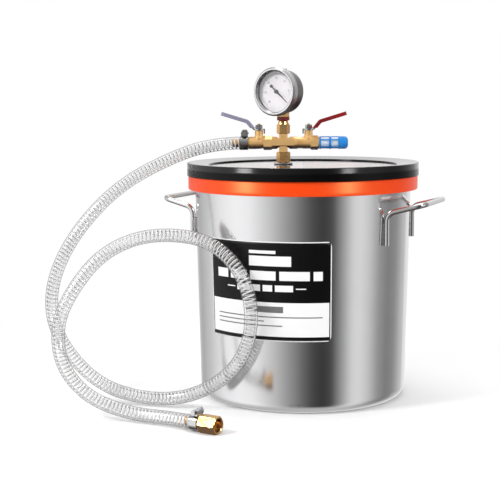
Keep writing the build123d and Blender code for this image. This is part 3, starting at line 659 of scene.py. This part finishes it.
# %% A helper for Geometry Nodes
class Rule:
    """A Geometry Nodes tree with named inputs, used once to make a plain mesh."""

    KINDS = {
        float: "NodeSocketFloat", int: "NodeSocketInt", bpy.types.Material: "NodeSocketMaterial",
    }

    def __init__(self, name, **inputs):
        self.name, self.values = name, inputs
        self.tree = bpy.data.node_groups.new(name, "GeometryNodeTree")
        sockets = self.tree.interface
        sockets.new_socket("Geometry", in_out="INPUT", socket_type="NodeSocketGeometry")
        self.names = {}
        for key, value in inputs.items():
            made = sockets.new_socket(key, in_out="INPUT", socket_type=self.KINDS[type(value)])
            self.names[key] = made.identifier
        sockets.new_socket("Geometry", in_out="OUTPUT", socket_type="NodeSocketGeometry")
        entry = self.tree.nodes.new("NodeGroupInput")
        self.inputs = {socket.name: Value(self, socket) for socket in entry.outputs if socket.name}

    node = Finish.node

    def vector(self, operation, first, second):
        """A Vector Math node on two directions."""
        return self.node("ShaderNodeVectorMath", {"operation": operation}, {0: first, 1: second})

    def step(self, way, length):
        """A step of that length along a direction."""
        return self.node("ShaderNodeVectorMath", {"operation": "SCALE"}, {0: way, "Scale": length})

    def mesh(self, shape, material, start=None):
        """Realise the shape, give it its material and return it as a mesh."""
        real = self.node("GeometryNodeRealizeInstances", {}, {"Geometry": shape})
        dressed = self.node("GeometryNodeSetMaterial", {}, {"Geometry": real, "Material": material})
        end = self.tree.nodes.new("NodeGroupOutput")
        self.tree.links.new(dressed.socket, end.inputs[0])
        carrier = bpy.data.objects.new(self.name, start or bpy.data.meshes.new(self.name))
        bpy.context.collection.objects.link(carrier)
        live = carrier.modifiers.new(self.name, "NODES")
        live.node_group = self.tree
        for key, identifier in self.names.items():
            live[identifier] = self.values[key]
        seen = carrier.evaluated_get(bpy.context.evaluated_depsgraph_get())
        mesh = bpy.data.meshes.new_from_object(seen)
        carrier.modifiers.remove(live)
        bpy.data.objects.remove(carrier)
        mesh.name = self.name
        return mesh


def line_mesh(name, line):
    """The line as a mesh of joined edges, for a rule to follow."""
    mesh = bpy.data.meshes.new(name)
    mesh.from_pydata(line, [(i, i + 1) for i in range(len(line) - 1)], [])
    return mesh


print("a rule's inputs can be:", [kind.__name__ for kind in Rule.KINDS])

# %% [markdown]
# ## The spring wire in the hose
#
# A vacuum hose has a steel spring in its wall, so that it can't collapse. Its points could be worked
# out one by one in a loop. As a rule it is shorter: walk along the line, and at each step move off it
# by the spring's radius, in a direction that turns once for every pitch of length walked. Then a
# small round profile is swept along the moved line.

# %% Wind the spring
SPRING_RADIUS = 6.2 * MM
WIRE_RADIUS = 0.8 * MM
WIRE_PITCH = 4.5 * MM
WIRE_STEPS = 18
WIRE_SIDES = 5


def wound_wire(line, radius, wire, pitch):
    """A spring along the line: its radius, its wire's radius and its pitch."""
    turns = line_length(line) / pitch
    rule = Rule("hose_wire", Radius=radius, Pitch=pitch, Wire=wire,
                Count=int(turns * WIRE_STEPS), Material=finishes["wire_steel"])
    given = rule.inputs
    path = rule.node("GeometryNodeMeshToCurve", {}, {"Mesh": given["Geometry"]})
    path = rule.node("GeometryNodeSetCurveNormal", {"mode": "MINIMUM_TWIST"}, {"Curve": path})
    path = rule.node("GeometryNodeResampleCurve", {"mode": "COUNT"}, {
        "Curve": path, "Count": given["Count"]})
    walked = rule.node("GeometryNodeSplineParameter", output="Length")
    angle = walked / given["Pitch"] * (2 * math.pi)
    side = rule.node("GeometryNodeInputNormal")
    up = rule.vector("CROSS_PRODUCT", rule.node("GeometryNodeInputTangent"), side)
    across = rule.step(side, angle.maths("COSINE") * given["Radius"])
    upward = rule.step(up, angle.maths("SINE") * given["Radius"])
    moved = rule.node("GeometryNodeSetPosition", {}, {
        "Geometry": path, "Offset": rule.vector("ADD", across, upward)})
    profile = rule.node("GeometryNodeCurvePrimitiveCircle", {}, {
        "Resolution": WIRE_SIDES, "Radius": given["Wire"]})
    swept = rule.node("GeometryNodeCurveToMesh", {}, {
        "Curve": moved, "Profile Curve": profile, "Fill Caps": True})
    return rule.mesh(swept, given["Material"], line_mesh("hose_line", line))


hose_wire = new_piece("hose_wire", wound_wire(hose_line, SPRING_RADIUS, WIRE_RADIUS, WIRE_PITCH),
                      None, "chamber", "clamp_steel")
print("wire faces", len(hose_wire.data.polygons))

# %% [markdown]
# ## Where the hose starts
#
# The real hose is stiff but it isn't hard: it can be moved and laid another way. Its mesh can't say
# that, and bones or a cloth setup would be much for a hose that lies still. This cell only works out
# where it leaves the valve, in metres, and prints its length.

# %% Where the hose starts
[c * MM for c in HOSE_ROUTE[0]]
print("hose declared:", round(hose_length, 3), "m")

# %% [markdown]
# ## The label's sheet
#
# The real label is a printed vinyl sticker bent round the wall, white round its edge, with a dark
# field above and a pale panel below. It could be drawn on the pot's own faces, but a thin sheet of
# its own gives it a real edge. The sheet follows the wall's taper, with rounded corners in its
# outline, and its map is laid out in millimetres, so that the print can be placed with a ruler.

# %% Bend the sheet round the wall
# Each end of the straight wall: its height and the outer radius there.
POT_FOOT = (11.6 * MM, 119.8 * MM)
POT_TOP = (250 * MM, 125 * MM)
LABEL_HALF_ARC = math.radians(34.8)
LABEL_LOW, LABEL_HIGH = 81.5 * MM, 190.8 * MM
LABEL_CORNER = 5 * MM


def wall_radius(height):
    """The pot's outer radius at a height."""
    share = (height - POT_FOOT[0]) / (POT_TOP[0] - POT_FOOT[0])
    return POT_FOOT[1] + (POT_TOP[1] - POT_FOOT[1]) * share


LABEL_WIDTH = 2 * LABEL_HALF_ARC * wall_radius((LABEL_LOW + LABEL_HIGH) / 2)
LABEL_TALL = LABEL_HIGH - LABEL_LOW


def label_sheet(columns=120, rows=24, lift=0.12 * MM):
    """A sheet on the wall with rounded corners and a map in millimetres from its lower left."""
    shape = bmesh.new()
    plan = shape.loops.layers.uv.new("print")
    grid = []
    for i in range(columns + 1):
        across = LABEL_WIDTH * i / columns
        from_end = min(across, LABEL_WIDTH - across)
        short = max(0.0, LABEL_CORNER - from_end)
        inset = LABEL_CORNER - math.sqrt(LABEL_CORNER ** 2 - short ** 2)
        angle = LABEL_HALF_ARC * (2 * i / columns - 1)
        column = []
        for j in range(rows + 1):
            up = inset + (LABEL_TALL - 2 * inset) * j / rows
            reach = wall_radius(LABEL_LOW + up) + lift
            place = (reach * math.sin(angle), -reach * math.cos(angle), LABEL_LOW + up)
            column.append((shape.verts.new(place), (across / MM, up / MM)))
        grid.append(column)
    for left, right in zip(grid, grid[1:]):
        for j in range(rows):
            corners = [left[j], right[j], right[j + 1], left[j + 1]]
            face = shape.faces.new([vert for vert, _ in corners])
            for loop, (_, spot) in zip(face.loops, corners):
                loop[plan].uv = spot
    mesh = bpy.data.meshes.new("front_label")
    shape.to_mesh(mesh)
    shape.free()
    return mesh


label_piece = label_sheet()
print("label", round(LABEL_WIDTH / MM, 1), "x", round(LABEL_TALL / MM, 1), "mm")

# %% [markdown]
# ## The label's print
#
# The real print is words and small symbols in white and grey. Here plain bars stand in the places of
# the lines, so no words are needed. An image texture would do, but it would blur up close. The
# shader draws each bar by comparing positions: it is the product of four comparisons, and sharp at
# any distance. Each bar is given by its left, right, low and high side in millimetres.

# %% Draw the print
WHITE_BARS = [
    (57, 105, 82.5, 93.5), (57, 88, 96, 99.5),
    (11.7, 28, 67, 77), (32, 54, 67, 77), (58, 88, 67, 77), (92, 125, 67, 77), (129, 139, 67, 77),
    (41, 70, 54.8, 61.8), (73, 84, 54.8, 61.8), (87, 107, 54.8, 61.8),
    (27, 38, 57.6, 58.8), (110, 121, 57.6, 58.8),
]
GREY_BARS = [
    (52, 96, 31.5, 38.5), (11.7, 139, 26, 27.3), (11.7, 74, 21.2, 22.5), (11.7, 95, 16.4, 17.7),
]
WHITE_EDGE = 1.1
PANEL_INSET, PANEL_LOW, PANEL_HIGH = 2.4, 5.2, 42.8
DARK_INK, GREY_INK, WHITE_INK = 0.003, 0.16, 0.88
LABEL_THICK = 0.1 * MM


def label_print():
    """The label's finish: a dark field with a white edge, a pale panel and plain bars."""
    finish = Finish("label_print")
    spot = finish.node("ShaderNodeUVMap", {"uv_map": "print"})
    across, up = finish.part(spot, "X"), finish.part(spot, "Y")

    def bar(left, right, low, high):
        return (across > left) * (across < right) * (up > low) * (up < high)

    def bars(places):
        total = bar(*places[0])
        for place in places[1:]:
            total = total.most(bar(*place))
        return total

    wide, tall = LABEL_WIDTH / MM, LABEL_TALL / MM
    rim = 1 - bar(WHITE_EDGE, wide - WHITE_EDGE, WHITE_EDGE, tall - WHITE_EDGE)
    panel = bar(PANEL_INSET, wide - PANEL_INSET, PANEL_LOW, PANEL_HIGH)
    pale = rim.most(panel).most(bars(WHITE_BARS))
    sheen = finish.noise(20 * MM, 2.0)
    ink = finish.blend(pale, grey(DARK_INK), grey(WHITE_INK))
    ink = finish.blend(bars(GREY_BARS), ink, grey(GREY_INK))
    return finish.surface(
        Base_Color=ink, Roughness=sheen * 0.1 + 0.3, Specular_IOR_Level=0.2,
        Normal=finish.bump(sheen, 4e-5, 0.4))


front_label = new_piece("front_label", label_piece, label_print(), "chamber", "label_print")
thick = front_label.modifiers.new("sheet", "SOLIDIFY")
thick.thickness, thick.offset = LABEL_THICK, 1
print("bars:", len(WHITE_BARS) + len(GREY_BARS))

# %% [markdown]
# ## The dial's place
#
# The gauge is screwed in a little turned, so its dial faces a few degrees away from the front. The
# marks could be made flat and turned by hand until they fit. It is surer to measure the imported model:
# the seal band under the gauge and the dial itself give the place, and one function lays any flat
# mesh on the dial's face.

# %% Find the dial
GAUGE_TURN = math.radians(11)
DIAL_FACE = 13.25 * MM
band_low, band_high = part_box("thread_seal_band")
dial_low, dial_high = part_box("gauge_dial")
gauge_centre = Vector(((band_low.x + band_high.x) / 2, (band_low.y + band_high.y) / 2,
                       (dial_low.z + dial_high.z) / 2))
facing = Vector((-math.sin(GAUGE_TURN), -math.cos(GAUGE_TURN), 0))
dial_right = Vector((math.cos(GAUGE_TURN), -math.sin(GAUGE_TURN), 0))


def on_dial(x, y, out=0.0):
    """A point from the dial's own right, up and outward distances."""
    return gauge_centre + dial_right * x + Vector((0, 0, y)) + facing * (DIAL_FACE + out)


def lay_on_dial(mesh):
    """Move a flat mesh from the origin to the dial's face."""
    for vertex in mesh.vertices:
        vertex.co = on_dial(*vertex.co)


print("gauge centre", [round(c, 4) for c in gauge_centre])

# %% [markdown]
# ## The dial's marks
#
# A dial is a ring of fine marks, with a longer one at each number. They could be painted by the
# shader, but small bars stay crisp and need no map. The rule places one bar per mark on an arc and
# turns it to point at the centre, so one tree makes both rings.

# %% The two rings of marks
ZERO_ANGLE, SWEEP = math.radians(-41.7), math.radians(270)
MARK_THICK = 0.06 * MM
FINE_MARKS, NUMBERS = 61, 7
MARK_RINGS = {
    "fine_marks": dict(count=FINE_MARKS, radius=20.6 * MM, long=1.4 * MM, wide=0.16 * MM),
    "long_marks": dict(count=NUMBERS, radius=20.0 * MM, long=2.6 * MM, wide=0.34 * MM),
}


def ring_of_marks(name, count, radius, long, wide):
    """Bars on an arc, each pointing at the centre."""
    rule = Rule(name, Count=count, Radius=radius, Long=long, Wide=wide,
                Material=finishes["pointer_black"])
    given = rule.inputs
    spots = rule.node("GeometryNodeMeshLine", {"mode": "OFFSET"}, {"Count": given["Count"]})
    index = rule.node("GeometryNodeInputIndex")
    angle = index / (given["Count"] - 1) * SWEEP + ZERO_ANGLE
    cosine, sine = (angle.maths(way) * given["Radius"] for way in ("COSINE", "SINE"))
    place = rule.node("ShaderNodeCombineXYZ", {}, {"X": cosine, "Y": sine})
    spots = rule.node("GeometryNodeSetPosition", {}, {"Geometry": spots, "Position": place})
    size = rule.node("ShaderNodeCombineXYZ", {}, {
        "X": given["Long"], "Y": given["Wide"], "Z": MARK_THICK})
    mark = rule.node("GeometryNodeMeshCube", {}, {"Size": size})
    spin = rule.node("ShaderNodeCombineXYZ", {}, {"Z": angle})
    placed = rule.node("GeometryNodeInstanceOnPoints", {}, {
        "Points": spots, "Instance": mark, "Rotation": spin})
    mesh = rule.mesh(placed, given["Material"])
    lay_on_dial(mesh)
    return mesh


for name, sizes in MARK_RINGS.items():
    new_piece(name, ring_of_marks(name, **sizes), None, "chamber", "pointer_black", False)
print("dial marks:", FINE_MARKS + NUMBERS)

# %% [markdown]
# ## The dial's figures
#
# The real figures are printed in the same black, one at each long mark. Text in Blender is a curve,
# and only a mesh can be bent on to the dial. So each figure is made as text, turned into a mesh,
# moved to its place on a circle, and all of them are joined into one thin piece.

# %% Seven figures
NUMBER_STEP = 5
FIGURE_RADIUS = 15.6 * MM
FIGURE_SIZE = 3.4 * MM
FIGURE_RISE = 0.02 * MM


def figures(name, texts, size):
    """Plain figures laid on the dial as one thin mesh."""
    shape = bmesh.new()
    for text, x, y in texts:
        words = bpy.data.curves.new(name, "FONT")
        words.body, words.size, words.extrude = text, size, FIGURE_RISE
        words.align_x, words.align_y = "CENTER", "CENTER"
        carrier = bpy.data.objects.new(name, words)
        bpy.context.collection.objects.link(carrier)
        bpy.context.view_layer.update()
        mesh = bpy.data.meshes.new_from_object(carrier)
        mesh.transform(Matrix.Translation((x, y, 0)))
        shape.from_mesh(mesh)
        bpy.data.objects.remove(carrier)
    made = bpy.data.meshes.new(name)
    shape.to_mesh(made)
    shape.free()
    lay_on_dial(made)
    return made


figure_places = []
for i in range(NUMBERS):
    angle = ZERO_ANGLE + SWEEP * i / (NUMBERS - 1)
    x, y = FIGURE_RADIUS * math.cos(angle), FIGURE_RADIUS * math.sin(angle)
    figure_places.append((str(NUMBER_STEP * i), x, y))
new_piece("dial_figures", figures("dial_figures", figure_places, FIGURE_SIZE),
          finishes["pointer_black"], "chamber", "pointer_black", False)
print("figures:", [f[0] for f in figure_places])

# %% [markdown]
# ## The studio's world
#
# The studio is white all round, with a few darker stretches that steel needs to look like steel: a
# mirror in an all-white room has no shape. Walls and screens could stand round the pot, but a world
# does it with one graph. It gives diffuse surfaces an even level, shows plain white behind the
# object, and gives shiny surfaces a ring of lighter and darker stretches.

# %% The world
# Shares of a turn and the level there: 0 is behind the pot, 0.25 left, 0.5 the camera, 0.75 right.
ROUND_RAMP = (
    (0.00, 1.00), (0.05, 0.62), (0.09, 0.46), (0.16, 0.68), (0.23, 1.00), (0.29, 1.10), (0.34, 1.04),
    (0.40, 0.70), (0.45, 0.40), (0.50, 0.16), (0.53, 0.07), (0.56, 0.04), (0.59, 0.07), (0.625, 0.42),
    (0.655, 0.80), (0.68, 0.84), (0.71, 0.68), (0.75, 0.36), (0.79, 0.24), (0.83, 0.30), (0.88, 0.58),
    (0.93, 0.90),
)
CEILING, UNDERSIDE, EVEN_LEVEL = 0.45, 0.55, 0.62


def studio_world():
    """A world that is white to look at, even to matt surfaces and striped to shiny ones."""
    world = bpy.data.worlds.new("studio")
    bpy.context.scene.world = world
    world.use_nodes = True
    sky = Finish("studio", world.node_tree)
    way = sky.node("ShaderNodeTexCoord", output="Generated")
    east, north, height = (sky.part(way, axis) for axis in "XYZ")
    # Angle from the camera's direction, positive to its right, as a share of a full turn.
    c, s = math.cos(CAMERA_ROUND), math.sin(CAMERA_ROUND)
    right = east * c + north * s
    front = east * s - north * c
    share = right.maths("ARCTAN2", front) / (2 * math.pi) + 0.5
    stretch = sky.ramp(share, *ROUND_RAMP)
    above = sky.ramp(height, (0.0, 0.0), (0.35, 0.0), (0.75, 1.0))
    shiny = sky.blend(above, stretch, grey(CEILING))
    below = sky.ramp(height * -1, (0.60, 0.0), (0.92, 1.0))
    shiny = sky.blend(below, shiny, grey(UNDERSIDE))
    seen = sky.ray("Is Camera Ray").most(sky.ray("Is Transmission Ray"))
    level = sky.blend(sky.ray("Is Glossy Ray"), grey(EVEN_LEVEL), shiny)
    level = sky.blend(seen, level, grey(1.0))
    back = sky.node("ShaderNodeBackground", {}, {"Color": level, "Strength": 1.0})
    sky.node("ShaderNodeOutputWorld", {}, {"Surface": back})
    return world


world = studio_world()
print("world:", world.name, "with", len(world.node_tree.nodes), "nodes")

# %% [markdown]
# ## The floor
#
# The pot stands on a pale table that can't be told from the white behind it, but for the shadow under
# the pot. A plain white world alone would leave the pot floating. A disc that is matt near the pot and
# glows plain white further out keeps the shadow and hides its own edge.

# %% Lay the floor
FLOOR_RADIUS = 6.0
MATT_UNTIL, WHITE_FROM = 0.30, 0.62


def studio_floor():
    """A matt disc that fades to plain white and that mirrors don't see."""
    shape = bmesh.new()
    bmesh.ops.create_circle(shape, cap_ends=True, radius=FLOOR_RADIUS, segments=96)
    mesh = bpy.data.meshes.new("floor")
    shape.to_mesh(mesh)
    shape.free()
    floor = bpy.data.objects.new("floor", mesh)
    bpy.context.collection.objects.link(floor)
    finish = Finish("floor")
    place = finish.node("ShaderNodeTexCoord", output="Object")
    away = finish.node("ShaderNodeVectorMath", {"operation": "LENGTH"}, {0: place}, output="Value")
    far = finish.ramp(away, (0.0, 0.0), (MATT_UNTIL, 0.0), (WHITE_FROM, 1.0))
    pale = finish.node("ShaderNodeBsdfDiffuse", {}, {"Color": grey(0.92)})
    white = finish.node("ShaderNodeEmission", {}, {"Color": grey(1.0), "Strength": 1.0})
    gone = finish.node("ShaderNodeBsdfTransparent", {}, {"Color": grey(1.0)})
    ground = finish.mixed(far, pale, white)
    mesh.materials.append(finish.end(finish.mixed(finish.ray("Is Glossy Ray"), ground, gone)))
    return floor


floor = studio_floor()
print("floor:", [round(size, 2) for size in floor.dimensions], "m")

# %% [markdown]
# ## The lamps
#
# Two small softboxes stand left and right of the camera and draw the narrow bright lines on the wall
# and the brass. A broad one hangs over the back of the pot and lights the lid. Point lamps would
# give hard shadows and tiny spots, so all three are broad area lamps.

# %% Hang the lamps
LAMP_AIM = Vector((0, 0, 0.2))
LAMPS = {
    "left_softbox": dict(round_degrees=-62, height=1.15, away=1.4, size=(0.36, 0.26), power=13),
    "right_softbox": dict(round_degrees=48, height=1.15, away=1.4, size=(0.30, 0.24), power=8.5),
    "top_softbox": dict(round_degrees=180, height=2.0, away=0.5, size=(1.4, 1.4), power=16),
}


def soft_lamp(name, round_degrees, height, away, size, power):
    """A broad area lamp, placed by its angle from the camera, aimed at the upper wall."""
    angle = CAMERA_ROUND + math.radians(round_degrees)
    lamp = bpy.data.objects.new(name, bpy.data.lights.new(name, "AREA"))
    bpy.context.collection.objects.link(lamp)
    lamp.data.shape, lamp.data.energy = "RECTANGLE", power
    lamp.data.size, lamp.data.size_y = size
    place = Vector((away * math.sin(angle), -away * math.cos(angle), height))
    aim = (LAMP_AIM - place).to_track_quat("-Z", "Y").to_matrix().to_4x4()
    lamp.matrix_world = Matrix.Translation(place) @ aim


for name, lamp in LAMPS.items():
    soft_lamp(name, **lamp)
print("lamps:", len(LAMPS))

# %% [markdown]
# ## Finish
#
# The last cell prints a closing line.

# %% Finish
print("scene built")
